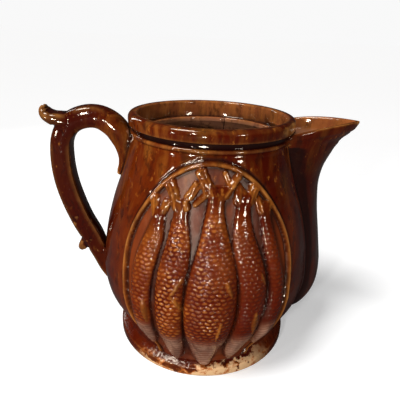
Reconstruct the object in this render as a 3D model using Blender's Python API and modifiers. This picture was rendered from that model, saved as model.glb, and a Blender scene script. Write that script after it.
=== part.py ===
# A glazed earthenware pitcher, cast as one piece: a pear-shaped body with five
# hanging fish in relief on each side, a ring for a lid, a pouring spout that
# runs the height of the body, and a scrolled handle.
#
# Metres, +Z up. The origin is on the body's axis, at the underside of the foot.
# The spout points along +X and the handle along -X, so the two carved panels
# face -Y and +Y. An angle on the body is counted in degrees from the middle of
# its panel, and grows towards the spout.

import math

import bmesh
import bpy
from mathutils import Vector

# The body
BODY_HEIGHT = 0.2150
BELLY_RADIUS = 0.0965
NECK_RADIUS = 0.0690
FOOT_RADIUS = 0.0825
FOOT_HEIGHT = 0.0095
COVE_DEPTH = 0.0070
COVE_REACH = 0.0045
WALL = 0.0055
FLOOR = 0.0075
FLOOR_CORNER = 0.0120
EDGE = 0.0012

# The ring round the mouth, the mouldings under it and the seat for a lid
RING_OVERHANG = 0.0026
RING_WIDTH = 0.0084
RING_HEIGHT = 0.0101
GROOVE_DEPTH = 0.0030
GROOVE_HEIGHT = 0.0046
BEAD_HEIGHT = 0.0040
BEAD_RISE = 0.0008
BEAD_GAP = 0.0028
SEAT_DEPTH = 0.0150
SEAT_WIDTH = 0.0062
SEAT_THICKNESS = 0.0045

# The relief panel: an egg-shaped frame with fish hung by their tails
FRAME_HALF_ANGLE = 45.0
FRAME_BEAD = 0.0044
FRAME_RISE = 0.0026
GROUND_SUNK = 0.0008
FISH_RISE = 0.0070
TAIL_RISE = 0.0028
TAIL_LOBE = 0.0066

# The spout and the strainer behind it
SPOUT_REACH = 0.1299
SPOUT_WIDTH = 0.0650
SPOUT_WALL = 0.0045
LIP_BAND = 0.0070
STRAINER_BORE = 0.0066
STRAINER_PITCH = 0.0125
STRAINER_ROWS = 5

# The handle
HANDLE_REACH = 0.1421
HANDLE_DEPTH = 0.0202
HANDLE_WIDTH = 0.0205
THUMB_DISH = 0.0015

# What follows from them
COVE_RADIUS = FOOT_RADIUS - COVE_DEPTH
RING_RADIUS = NECK_RADIUS + RING_OVERHANG
MOUTH_RADIUS = RING_RADIUS - RING_WIDTH
THROAT_RADIUS = MOUTH_RADIUS - SEAT_WIDTH
COLLAR_HEIGHT = RING_HEIGHT + GROOVE_HEIGHT + BEAD_HEIGHT + BEAD_GAP

# Heights below are shares of the span, of which the neck is at NECK_AT.
NECK_AT = 0.90
SPAN = (BODY_HEIGHT - COLLAR_HEIGHT) / NECK_AT

# Outline of the body between cove and neck, as (height, share of the swell):
# 0 is the cove below or the neck above, 1 is the belly.
BELLY_AT = 0.36
SWELL_BELOW = ((0.09, 0.0), (0.14, 0.27), (0.19, 0.55), (0.24, 0.80), (0.30, 0.95), (BELLY_AT, 1.0))
SWELL_ABOVE = ((BELLY_AT, 1.0), (0.50, 0.875), (0.64, 0.62), (0.78, 0.25), (NECK_AT, 0.0))

# The frame's oval
OVAL_MIDDLE = 0.52
OVAL_UP = 0.365
OVAL_DOWN = 0.60
OVAL_SHOULDER = 0.777

# Each fish from handle side to spout side: the angles of its nose, belly and
# neck, half its belly's width in degrees, the heights of nose and neck, its
# rise as a share, and the angle and height of its two tail tips.
FISH = (
    dict(nose=-31.0, belly=-33.0, neck=-28.0, half=6.2, low=0.19, high=0.710, rise=0.80,
         tips=((-30.6, 0.766), (-22.8, 0.760))),
    dict(nose=-17.5, belly=-19.6, neck=-15.6, half=7.3, low=0.10, high=0.735, rise=0.88,
         tips=((-25.0, 0.812), (-8.2, 0.824))),
    dict(nose=3.0, belly=0.6, neck=2.3, half=13.0, low=0.05, high=0.770, rise=1.0,
         tips=((-6.0, 0.853), (12.6, 0.846))),
    dict(nose=12.8, belly=20.4, neck=17.6, half=7.2, low=0.11, high=0.745, rise=0.88,
         tips=((14.4, 0.812), (24.8, 0.803))),
    dict(nose=25.5, belly=32.4, neck=30.0, half=5.2, low=0.21, high=0.715, rise=0.80,
         tips=((27.0, 0.764), (31.4, 0.754))),
)
# Along a fish from nose to neck: where its belly is, its width and its rise
BELLY_ALONG = 0.56
FISH_WIDTHS = ((0.0, 0.0), (0.05, 0.30), (0.20, 0.62), (0.33, 0.80), (0.45, 0.94), (0.57, 1.0),
               (0.70, 0.93), (0.80, 0.72), (0.90, 0.50), (1.0, 0.40))
FISH_RISES = ((0.0, 0.30), (0.10, 0.55), (0.35, 0.90), (0.56, 1.0), (0.80, 0.78), (1.0, 0.52))
# A tail lobe starts this far from its fish's middle, and its edge column runs
# this share of the lobe's width beside its crest.
TAIL_ROOT = 0.45
TAIL_EDGE = 0.36

# Keel of the spout, as (height, share of the reach beyond the body), and its
# width as (height, share of SPOUT_WIDTH)
SPOUT_KEEL = ((0.105, 0.30), (0.137, 0.48), (0.185, 0.56), (0.25, 0.61), (0.34, 0.57), (0.48, 0.46),
              (0.60, 0.41), (0.71, 0.44), (0.79, 0.53), (0.85, 0.645), (0.90, 0.763), (0.913, 0.887),
              (0.945, 1.0))
SPOUT_SIDE = ((0.105, 0.15), (0.125, 0.50), (0.16, 0.82), (0.22, 1.0), (0.90, 1.0), (1.0, 1.05))
SPOUT_LEVELS = (0.105, 0.118, 0.14, 0.175, 0.22, 0.28, 0.36, 0.48, 0.60, 0.70, 0.79, 0.85, 0.90)
CHANNEL_FLOOR = 0.175
LIP_AT_BODY = 0.945
LIP_RISE = 0.044
STRAINER_AT = 0.46

# Middle line of the handle from its curled upper end to the leaf at its foot:
# height, share of the reach beyond the body, and its depth and width as
# shares of HANDLE_DEPTH and HANDLE_WIDTH.
HANDLE_LINE = (
    (0.737, 0.040, 0.30, 0.34), (0.775, 0.032, 0.38, 0.52), (0.820, 0.048, 0.60, 0.76),
    (0.880, 0.120, 1.00, 0.92), (0.930, 0.245, 1.04, 1.00), (0.962, 0.430, 1.00, 1.00),
    (0.962, 0.640, 1.00, 1.00),
    (0.932, 0.845, 1.00, 1.00), (0.870, 0.970, 0.95, 1.00), (0.780, 0.995, 0.98, 1.00),
    (0.690, 0.955, 1.00, 0.98), (0.600, 0.835, 1.00, 0.96), (0.510, 0.635, 0.98, 0.94),
    (0.430, 0.380, 0.97, 0.92), (0.350, 0.165, 0.82, 0.86), (0.270, 0.080, 0.56, 0.72),
    (0.200, 0.035, 0.34, 0.50), (0.150, 0.005, 0.16, 0.26),
)
# The thumb rest and the spur, in the same terms; each starts inside the handle.
THUMB_REST = (
    (0.930, 0.700, 0.80, 0.80), (0.940, 0.850, 0.86, 1.02), (0.949, 0.985, 0.66, 1.12),
    (0.957, 1.090, 0.50, 1.10), (0.970, 1.160, 0.42, 0.98), (0.988, 1.190, 0.32, 0.74),
    (1.003, 1.190, 0.16, 0.36),
)
SPUR = (
    (0.440, 0.440, 0.60, 0.60), (0.400, 0.560, 0.55, 0.62), (0.374, 0.665, 0.42, 0.52),
    (0.358, 0.710, 0.20, 0.28),
)

# How finely the solid is faceted
COLUMNS = 80
QUARTER = COLUMNS // 4
BOWL_COLUMNS = 36
BOWL_LEVELS = (0.80, 0.72, 0.62, 0.50, 0.40, 0.31, 0.22, 0.15)
TAIL_BASE = 0.70
TAIL_ROWS = (0.82, 0.62, 0.42, 0.20)
LEVEL_ROWS = (TAIL_BASE, 0.66, 0.615, 0.57, 0.52, 0.47, 0.42, 0.37, 0.32, 0.27, 0.22, 0.175, 0.13, 0.095)
LEAST_STEP = 1.1
SPOUT_CORNERS = 7
HANDLE_SECTIONS = 32
SECTION_CORNERS = 12


def smooth_through(points, place):
    """A smooth curve through (place, value) points, held level past its ends."""
    if place <= points[0][0]:
        return points[0][1]
    if place >= points[-1][0]:
        return points[-1][1]
    last = len(points) - 1
    index = next(i for i in range(last) if points[i + 1][0] >= place)

    def slope(i):
        before, after = points[max(i - 1, 0)], points[min(i + 1, last)]
        return (after[1] - before[1]) / (after[0] - before[0])

    (x0, y0), (x1, y1) = points[index], points[index + 1]
    run = x1 - x0
    t = (place - x0) / run
    bend0, bend1 = slope(index) * run, slope(index + 1) * run
    return (y0 * (1 + 2 * t) * (1 - t) ** 2 + y1 * t * t * (3 - 2 * t)
            + bend0 * t * (1 - t) ** 2 - bend1 * t * t * (1 - t))


def body_radius(height):
    """Outer radius of the plain body between foot and collar."""
    share = height / SPAN
    if share < BELLY_AT:
        return COVE_RADIUS + (BELLY_RADIUS - COVE_RADIUS) * smooth_through(SWELL_BELOW, share)
    return NECK_RADIUS + (BELLY_RADIUS - NECK_RADIUS) * smooth_through(SWELL_ABOVE, share)


def around(angle, radius, height, back):
    """A point at an angle from the middle of the front or the back panel."""
    turn = math.radians(angle)
    y = radius * math.cos(turn)
    return Vector((radius * math.sin(turn), y if back else -y, height))


def mirrored(points):
    """Points moved to the other side of the plane through spout and handle."""
    return [Vector((point.x, -point.y, point.z)) for point in points]


# The relief


def oval_angle(height):
    """Half the frame's opening, in degrees, at a height."""
    rise = height / SPAN - OVAL_MIDDLE
    share = rise / (OVAL_UP if rise > 0 else OVAL_DOWN)
    return FRAME_HALF_ANGLE * math.sqrt(max(1 - share * share, 0.0))


SHOULDER_HEIGHT = OVAL_SHOULDER * SPAN
SHOULDER_ANGLE = oval_angle(SHOULDER_HEIGHT)


def oval_height(angle):
    """Height of the frame's arched top, level beyond its shoulders."""
    share = min(abs(angle), SHOULDER_ANGLE) / FRAME_HALF_ANGLE
    return (OVAL_MIDDLE + OVAL_UP * math.sqrt(1 - share * share)) * SPAN


def fish_line(fish, height):
    """Middle and half width of a fish in degrees, and the share of its length, at a height."""
    low, high = fish["low"] * SPAN, fish["high"] * SPAN
    along = min(max((height - low) / (high - low), 0.0), 1.0)
    line = ((0.0, fish["nose"]), (BELLY_ALONG, fish["belly"]), (1.0, fish["neck"]))
    return smooth_through(line, along), fish["half"] * smooth_through(FISH_WIDTHS, along), along


def tail_lobes(fish):
    """The two tail lobes, each a root and a tip as (angle, height)."""
    neck = fish["high"] * SPAN
    middle, half, _ = fish_line(fish, neck)
    for side, (tip_angle, tip_height) in zip((-1, 1), fish["tips"]):
        yield (middle + side * TAIL_ROOT * half, neck), (tip_angle, tip_height * SPAN)


def rounded_ridge(distance, half):
    """Cross-section of a raised ridge: 1 on its line and 0 past its half width."""
    share = distance / half
    return math.sqrt(1 - share * share) if share < 1 else 0.0


def distance_to_lobe(angle, height, root, tip):
    """Distance on the body's surface from a point to a tail lobe's middle line."""
    arc = math.radians(1.0) * body_radius(height)
    point = Vector(((angle - root[0]) * arc, height - root[1]))
    line = Vector(((tip[0] - root[0]) * arc, tip[1] - root[1]))
    along = min(max(point.dot(line) / line.dot(line), 0.0), 1.0)
    return (point - line * along).length


def relief(angle, height):
    """How far the carving stands out from the plain body."""
    arc = math.radians(1.0) * body_radius(height)
    if height > SHOULDER_HEIGHT:
        from_frame = height - oval_height(angle)
    else:
        from_frame = (abs(angle) - oval_angle(height)) * arc
    rise = FRAME_RISE * rounded_ridge(abs(from_frame), FRAME_BEAD / 2)
    if from_frame > 0:
        return rise
    rise -= GROUND_SUNK * min(-from_frame / FRAME_BEAD, 1.0)
    for fish in FISH:
        middle, half, along = fish_line(fish, height)
        if 0.0 < along < 1.0 and abs(angle - middle) < half:
            dome = (1 - (abs(angle - middle) / half) ** 2.4) ** 0.7
            rise = max(rise, FISH_RISE * fish["rise"] * smooth_through(FISH_RISES, along) * dome)
        for root, tip in tail_lobes(fish):
            apart = distance_to_lobe(angle, height, root, tip)
            rise = max(rise, TAIL_RISE * rounded_ridge(apart, TAIL_LOBE / 2))
    return rise


def fish_columns(fish, height):
    """Five angles that follow a fish: its edges, flanks and crest, or its tail."""
    if height <= fish["high"] * SPAN:
        middle, half, _ = fish_line(fish, height)
        half = max(half, 2 * LEAST_STEP)
        return [middle + half * share for share in (-1, -0.5, 0, 0.5, 1)]
    edge = math.degrees(TAIL_EDGE * TAIL_LOBE / body_radius(height))
    crests = []
    for root, tip in tail_lobes(fish):
        climb = min((height - root[1]) / (tip[1] - root[1]), 1.0)
        crests.append(root[0] + (tip[0] - root[0]) * climb)
    left, right = crests
    return [left - edge, left, (left + right) / 2, right, right + edge]


def column_angles(height):
    """The angles of all columns of half a turn, from handle to spout."""
    bead = math.degrees(FRAME_BEAD / 2 / body_radius(height))
    frame = oval_angle(min(height, SHOULDER_HEIGHT))
    inner = [angle for fish in FISH for angle in fish_columns(fish, height)]
    limit = frame - bead
    last = len(inner) - 1
    for i, angle in enumerate(inner):
        inner[i] = min(max(angle, -limit + LEAST_STEP * (i + 1)), limit - LEAST_STEP * (last - i + 1))
        if i:
            inner[i] = max(inner[i], inner[i - 1] + LEAST_STEP)
    side_steps = QUARTER - len(inner) // 2 - 3
    side = [frame + bead + (90 - frame - bead) * step / side_steps for step in range(1, side_steps + 1)]
    right = [frame - bead, frame, frame + bead] + side
    return [-angle for angle in reversed(right)] + inner + right


def panel_rows():
    """Rows of the carved zone, from the neck down to the cove."""
    rows = [("frame", 1), ("frame", 0), ("frame", -1)]
    rows += [("tail", share) for share in TAIL_ROWS]
    rows += [("level", share * SPAN) for share in LEVEL_ROWS]
    return rows + [("level", FOOT_HEIGHT + COVE_REACH)]


def row_height(row, angle):
    """Height of a row of the grid at an angle: level, or arched with the frame."""
    kind, value = row
    if kind == "level":
        return value
    arch = oval_height(angle)
    if kind == "frame":
        return arch + value * FRAME_BEAD / 2
    base = TAIL_BASE * SPAN
    return base + (arch - FRAME_BEAD / 2 - base) * value


# Turned outlines, as (radius, height) from the top down


def collar_profile():
    """Ring, groove and bead round the mouth."""
    top = BODY_HEIGHT
    crown = (MOUTH_RADIUS + RING_RADIUS) / 2
    ring_foot = top - RING_HEIGHT
    groove_foot = ring_foot - GROOVE_HEIGHT
    bead_foot = groove_foot - BEAD_HEIGHT
    bead = NECK_RADIUS + BEAD_RISE
    groove = RING_RADIUS - EDGE - GROOVE_DEPTH
    return [
        (MOUTH_RADIUS - EDGE, top - EDGE), (crown - 2 * EDGE, top - EDGE / 6), (crown + EDGE, top),
        (RING_RADIUS - EDGE, top - 2 * EDGE), (RING_RADIUS, (top + ring_foot) / 2),
        (RING_RADIUS - EDGE, ring_foot), (groove, ring_foot - EDGE), (groove, groove_foot),
        (bead, groove_foot - EDGE), (bead, bead_foot + EDGE / 2), (NECK_RADIUS, NECK_AT * SPAN),
    ]


def foot_profile():
    """The foot, from the cove's end down to the underside's edge."""
    return [(COVE_RADIUS + COVE_DEPTH / 2, FOOT_HEIGHT + EDGE), (FOOT_RADIUS - EDGE, FOOT_HEIGHT),
            (FOOT_RADIUS, FOOT_HEIGHT - 2 * EDGE), (FOOT_RADIUS, 2 * EDGE), (FOOT_RADIUS - 2 * EDGE, 0.0)]


def outer_profile():
    """The whole outer outline, with each panel row at its height on the panel's edge."""
    collar = collar_profile()
    panel = []
    for row in panel_rows():
        height = row_height(row, FRAME_HALF_ANGLE)
        panel.append((body_radius(height), height))
    return [(0.0, collar[0][1])] + collar + panel + foot_profile() + [(0.0, 0.0)]


def bowl_profile():
    """The hollow, from above the mouth down to the middle of the floor."""
    above = BODY_HEIGHT + 0.01
    seat = BODY_HEIGHT - SEAT_DEPTH
    under_seat = seat - SEAT_THICKNESS
    shoulder = under_seat - (NECK_RADIUS - WALL - THROAT_RADIUS)
    low = COVE_RADIUS - WALL
    points = [(0.0, above), (MOUTH_RADIUS, above), (MOUTH_RADIUS, seat), (THROAT_RADIUS, seat),
              (THROAT_RADIUS, under_seat), (body_radius(shoulder) - WALL, shoulder)]
    points += [(body_radius(share * SPAN) - WALL, share * SPAN) for share in BOWL_LEVELS]
    points += [(low, FLOOR + FLOOR_CORNER), (low - 0.3 * FLOOR_CORNER, FLOOR + 0.3 * FLOOR_CORNER),
               (low - FLOOR_CORNER, FLOOR), (0.0, FLOOR)]
    return points


# Making solids


def new_collection(name):
    collection = bpy.data.collections.new(name)
    bpy.context.scene.collection.children.link(collection)
    return collection


def add_object(name, mesh, collection):
    piece = bpy.data.objects.new(name, mesh)
    collection.objects.link(piece)
    return piece


def turned(name, profile, columns, collection):
    """A closed solid of revolution from a profile that runs top to bottom."""
    mesh = bpy.data.meshes.new(name)
    points = [(radius, 0.0, height) for radius, height in profile]
    mesh.from_pydata(points, [(i, i + 1) for i in range(len(points) - 1)], [])
    outline = add_object(name, mesh, collection)
    screw = outline.modifiers.new("Turn", "SCREW")
    screw.axis = "Z"
    screw.steps = columns
    screw.render_steps = columns
    screw.use_merge_vertices = True
    screw.merge_threshold = 0.00001
    graph = bpy.context.evaluated_depsgraph_get()
    solid_mesh = bpy.data.meshes.new_from_object(outline.evaluated_get(graph))
    bpy.data.objects.remove(outline)
    return add_object(name, solid_mesh, collection)


def loft(name, sections, collection):
    """A closed solid through rings of as many points each, capped at both ends."""
    shape = bmesh.new()
    rings = [[shape.verts.new(point) for point in section] for section in sections]
    for lower, upper in zip(rings, rings[1:]):
        for i in range(len(lower)):
            j = (i + 1) % len(lower)
            shape.faces.new((lower[i], lower[j], upper[j], upper[i]))
    shape.faces.new(list(reversed(rings[0])))
    shape.faces.new(rings[-1])
    bmesh.ops.recalc_face_normals(shape, faces=shape.faces)
    mesh = bpy.data.meshes.new(name)
    shape.to_mesh(mesh)
    shape.free()
    return add_object(name, mesh, collection)


def boolean(body, tool, operation):
    """Join or cut with a tool that stays hidden."""
    modifier = body.modifiers.new(f"{operation.title()} {tool.name}", "BOOLEAN")
    modifier.operation = operation
    modifier.object = tool
    modifier.solver = "EXACT"
    tool.hide_render = True
    tool.display_type = "WIRE"


# The pieces of the form


def carve(mesh):
    """Move the turned body's points onto the rows and columns of the relief."""
    outline, rows = outer_profile(), panel_rows()
    first = 1 + len(collar_profile())
    step = 360.0 / COLUMNS
    for vertex in mesh.vertices:
        radius, height = math.hypot(vertex.co.x, vertex.co.y), vertex.co.z
        if radius < step * 0.0001:
            continue
        back = vertex.co.y > 0.0001
        column = round(math.degrees(math.atan2(vertex.co.x, abs(vertex.co.y))) / step) + QUARTER
        row = min(range(1, len(outline) - 1),
                  key=lambda i: (outline[i][0] - radius) ** 2 + (outline[i][1] - height) ** 2)
        angle = column_angles(height)[column]
        if first <= row < first + len(rows):
            for _ in range(4):
                height = row_height(rows[row - first], angle)
                angle = column_angles(height)[column]
            radius = body_radius(height) + relief(angle, height)
        vertex.co = around(angle, radius, height, back)


def make_body(collection):
    body = turned("pitcher", outer_profile(), COLUMNS, collection)
    carve(body.data)
    return body


def spout_section(height, lift, inset):
    """One side's plan of the spout, from the body's flank to the keel.

    The lift raises the section towards the keel, and the inset draws it in
    from the outer surface."""
    share = height / SPAN
    half = SPOUT_WIDTH / 2 * smooth_through(SPOUT_SIDE, share) - inset
    radius = body_radius(height)
    buried = radius - WALL / 2
    root = math.sqrt(buried * buried - half * half)
    keel = radius + (SPOUT_REACH - radius) * smooth_through(SPOUT_KEEL, share) - 1.3 * inset
    points = []
    for step in range(SPOUT_CORNERS + 1):
        along = math.sin(math.pi / 2 * step / SPOUT_CORNERS)
        across = (1 - along ** 2.1) ** 0.9
        rise = lift * (1 - (1 - along) ** 2.2)
        points.append(Vector((root + (keel - root) * along, half * across, height + rise)))
    return points


def spout_levels():
    """Heights of the spout's sections, each with how far it lifts to the keel."""
    lip, lift = LIP_AT_BODY * SPAN, LIP_RISE * SPAN
    levels = [(share * SPAN, 0.0) for share in SPOUT_LEVELS]
    return levels + [(lip - LIP_BAND, 0.6 * lift), (lip, lift)]


def make_spout(collection):
    """Outer form of the spout, closed behind inside the body's wall."""
    sections = []
    for height, lift in spout_levels():
        side = spout_section(height, lift, 0.0)
        behind = Vector((body_radius(height) - 0.85 * WALL, 0.0, height))
        near = Vector((side[0].x - WALL / 2, side[0].y * 0.96, height))
        sections.append(side[::-1] + [near, behind] + mirrored([near]) + mirrored(side[:-1]))
    return loft("spout", sections, collection)


def make_channel(collection):
    """The hollow of the spout, in front of the body's own wall."""
    floor = CHANNEL_FLOOR * SPAN
    levels = [(floor, 0.0)]
    levels += [(height, lift) for height, lift in spout_levels() if height > floor + FLOOR / 2]
    lip, lift = levels[-1]
    sections = []
    for height, rise in levels + [(lip + 0.02, lift)]:
        level = min(height, lip)
        side = spout_section(level, rise, SPOUT_WALL)
        radius = max(body_radius(level), RING_RADIUS if level > NECK_AT * SPAN else 0.0) + 0.0003
        back = [Vector((math.sqrt(radius * radius - y * y), y, level))
                for y in (side[0].y, 0.55 * side[0].y, 0.0)]
        ring = side[:0:-1] + back + mirrored(back[1::-1]) + mirrored(side[1:-1])
        above = Vector((0.0, 0.0, height - level))
        sections.append([point + above for point in ring])
    return loft("channel", sections, collection)


def make_strainer(collection):
    """Drills for the rows of holes through the wall behind the spout."""
    drills = []
    for row in range(STRAINER_ROWS):
        height = STRAINER_AT * SPAN + row * STRAINER_PITCH
        holes = 3 - row % 2
        for hole in range(holes):
            y = (hole - (holes - 1) / 2) * STRAINER_PITCH
            wall_x = math.sqrt(body_radius(height) ** 2 - y * y) - WALL / 2
            bpy.ops.mesh.primitive_cylinder_add(
                vertices=8, radius=STRAINER_BORE / 2, depth=3 * WALL,
                location=(wall_x, y, height), rotation=(0.0, math.pi / 2, 0.0))
            drill = bpy.context.object
            drill.name = f"drill_{row}_{hole}"
            drill.users_collection[0].objects.unlink(drill)
            collection.objects.link(drill)
            drills.append(drill)
    return drills


def swept(name, line, sections, collection, dish=0.0):
    """A bar of rounded oblong sections behind the body, along a line in the XZ plane.

    The line is given as HANDLE_LINE is, and the dish hollows its outer face."""
    bar = []
    farthest = HANDLE_REACH - HANDLE_DEPTH / 2
    for share, reach, depth, width in line:
        radius = body_radius(share * SPAN)
        x = -(radius + (farthest - radius) * reach)
        bar.append((x, share * SPAN, depth * HANDLE_DEPTH / 2, width * HANDLE_WIDTH / 2))

    def read(item, at):
        return smooth_through([(i, values[item]) for i, values in enumerate(bar)], at)

    rings = []
    for step in range(sections):
        at = (len(bar) - 1) * step / (sections - 1)
        here = Vector((read(0, at), 0.0, read(1, at)))
        forward = Vector((read(0, at + 0.02) - read(0, at - 0.02), 0.0,
                          read(1, at + 0.02) - read(1, at - 0.02))).normalized()
        out = Vector((-forward.z, 0.0, forward.x))
        ring = []
        for corner in range(SECTION_CORNERS):
            turn = 2 * math.pi * (corner + 0.5) / SECTION_CORNERS
            square = max(abs(math.cos(turn)), abs(math.sin(turn))) ** -0.45
            sunk = dish * max(math.cos(turn), 0.0) ** 3
            ring.append(here + out * (square * math.cos(turn) * read(2, at) - sunk)
                        + Vector((0.0, square * math.sin(turn) * read(3, at), 0.0)))
        rings.append(ring)
    return loft(name, rings, collection)


def make_handle(collection):
    return [swept("handle_bar", HANDLE_LINE, HANDLE_SECTIONS, collection),
            swept("thumb_rest", THUMB_REST, 9, collection, dish=THUMB_DISH),
            swept("spur", SPUR, 5, collection)]


def glaze():
    """Glossy brown lead glaze."""
    material = bpy.data.materials.new("brown_glaze")
    material.use_nodes = True
    shader = material.node_tree.nodes["Principled BSDF"]
    shader.inputs["Base Color"].default_value = (0.16, 0.045, 0.012, 1.0)
    shader.inputs["Roughness"].default_value = 0.14
    shader.inputs["Metallic"].default_value = 0.0
    return material


def build():
    for leftover in list(bpy.data.objects):
        bpy.data.objects.remove(leftover)
    parts = new_collection("pitcher_parts")
    tools = new_collection("cutters")
    body = make_body(parts)
    for piece in make_handle(tools) + [make_spout(tools)]:
        boolean(body, piece, "UNION")
    bowl = turned("bowl", bowl_profile(), BOWL_COLUMNS, tools)
    for cutter in [bowl, make_channel(tools)] + make_strainer(tools):
        boolean(body, cutter, "DIFFERENCE")
    body.data.materials.append(glaze())
    body.data.shade_smooth()
    body.data.set_sharp_from_angle(angle=math.radians(40))


build()
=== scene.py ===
# A glazed earthenware pitcher with hanging fish in relief, on a pale studio floor.
# Metres, +Z up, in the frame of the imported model: the spout points along +X and the
# handle along -X, so the two carved panels face -Y and +Y. An angle on the body is in
# degrees from the middle of its panel and grows towards the spout. Heights in the
# curves are shares of the body's height.

from math import atan2, cos, degrees, exp, floor, hypot, pi, radians, sin, sqrt

import bmesh
import bpy
import numpy
from mathutils import Matrix, Vector, kdtree


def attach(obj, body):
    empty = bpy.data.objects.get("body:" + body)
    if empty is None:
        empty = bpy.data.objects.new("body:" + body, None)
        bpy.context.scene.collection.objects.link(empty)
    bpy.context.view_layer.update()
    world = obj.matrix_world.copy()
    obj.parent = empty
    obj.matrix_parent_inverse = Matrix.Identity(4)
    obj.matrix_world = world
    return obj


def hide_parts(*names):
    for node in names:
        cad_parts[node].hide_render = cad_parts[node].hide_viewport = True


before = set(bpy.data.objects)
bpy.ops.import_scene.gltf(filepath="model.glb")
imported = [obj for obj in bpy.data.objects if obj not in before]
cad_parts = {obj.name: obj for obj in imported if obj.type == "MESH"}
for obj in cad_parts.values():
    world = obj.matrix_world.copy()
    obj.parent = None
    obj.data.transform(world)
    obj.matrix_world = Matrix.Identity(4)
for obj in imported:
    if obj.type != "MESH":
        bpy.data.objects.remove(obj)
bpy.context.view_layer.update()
print("frame loaded:", list(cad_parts))

scene = bpy.context.scene
scene.view_settings.view_transform = "Standard"    # keeps the deep browns of the glaze


# Curves and lines that every part uses

def smoothThrough(points, place):
    # a smooth curve through (place, value) points, level past its ends
    if place <= points[0][0]:
        return points[0][1]
    if place >= points[-1][0]:
        return points[-1][1]
    last = len(points) - 1
    index = next(i for i in range(last) if points[i + 1][0] >= place)

    def slope(i):
        before, after = points[max(i - 1, 0)], points[min(i + 1, last)]
        return (after[1] - before[1]) / (after[0] - before[0])

    (x0, y0), (x1, y1) = points[index], points[index + 1]
    run = x1 - x0
    t = (place - x0) / run
    return (y0 * (1 + 2 * t) * (1 - t) ** 2 + y1 * t * t * (3 - 2 * t)
            + slope(index) * run * t * (1 - t) ** 2 - slope(index + 1) * run * t * t * (1 - t))


def arc(centre, radius, start, end, steps):
    # points of a circular arc in a profile, angles in degrees from outwards
    angles = [radians(start + (end - start) * i / steps) for i in range(steps + 1)]
    return [(centre[0] + radius * cos(a), centre[1] + radius * sin(a)) for a in angles]


def step(low, high, value):
    # 0 below low, 1 above high, smooth between
    t = min(max((value - low) / (high - low), 0.0), 1.0)
    return t * t * (3 - 2 * t)


def ridge(share):
    # cross-section of a rounded ridge, 1 on its line and 0 past its edge
    return sqrt(1 - share * share) if share < 1 else 0.0


def meshFrom(name, shape):
    # the mesh of a finished shape, which is freed
    mesh = bpy.data.meshes.new(name)
    shape.to_mesh(mesh)
    shape.free()
    return mesh


def newObject(name, data):
    piece = bpy.data.objects.new(name, data)
    scene.collection.objects.link(piece)
    return piece


# The plain body

body = dict(height=0.215, belly=0.0965, neck=0.069, foot=0.0825, cove=0.0755, wall=0.0055,
            floor=0.0075, neckAt=0.9, bellyAt=0.36,
            swellBelow=((0.09, 0.0), (0.14, 0.27), (0.19, 0.55), (0.24, 0.8), (0.3, 0.95),
                        (0.36, 1.0)),
            swellAbove=((0.36, 1.0), (0.5, 0.875), (0.64, 0.62), (0.78, 0.25), (0.9, 0.0)))
span = body["height"]

ring = dict(outer=0.0716, mouth=0.0632, throat=0.057, height=0.0101, groove=0.0674,
            grooveHeight=0.0046, beadHeight=0.004, bead=0.0699, seatDepth=0.015, seatThick=0.0045)


def bodyRadius(height):
    share = height / span
    end, swell = ("cove", "swellBelow") if share < body["bellyAt"] else ("neck", "swellAbove")
    return body[end] + (body["belly"] - body[end]) * smoothThrough(body[swell], share)


# The relief: an egg-shaped frame, and five fish hung by their tails

panel = dict(halfAngle=45.0, middle=0.52, up=0.365, down=0.6, low=0.014, bead=0.0044,
             rise=0.0026, groundSunk=0.0008, edgeGroove=0.0005, grooveOut=0.0006,
             grooveHalf=0.0012, grooveShade=0.0014, fishShade=0.0024, fadeIn=0.0012,
             footFill=0.0034, fillShares=(0.075, 0.19), fillIn=0.006)

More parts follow.
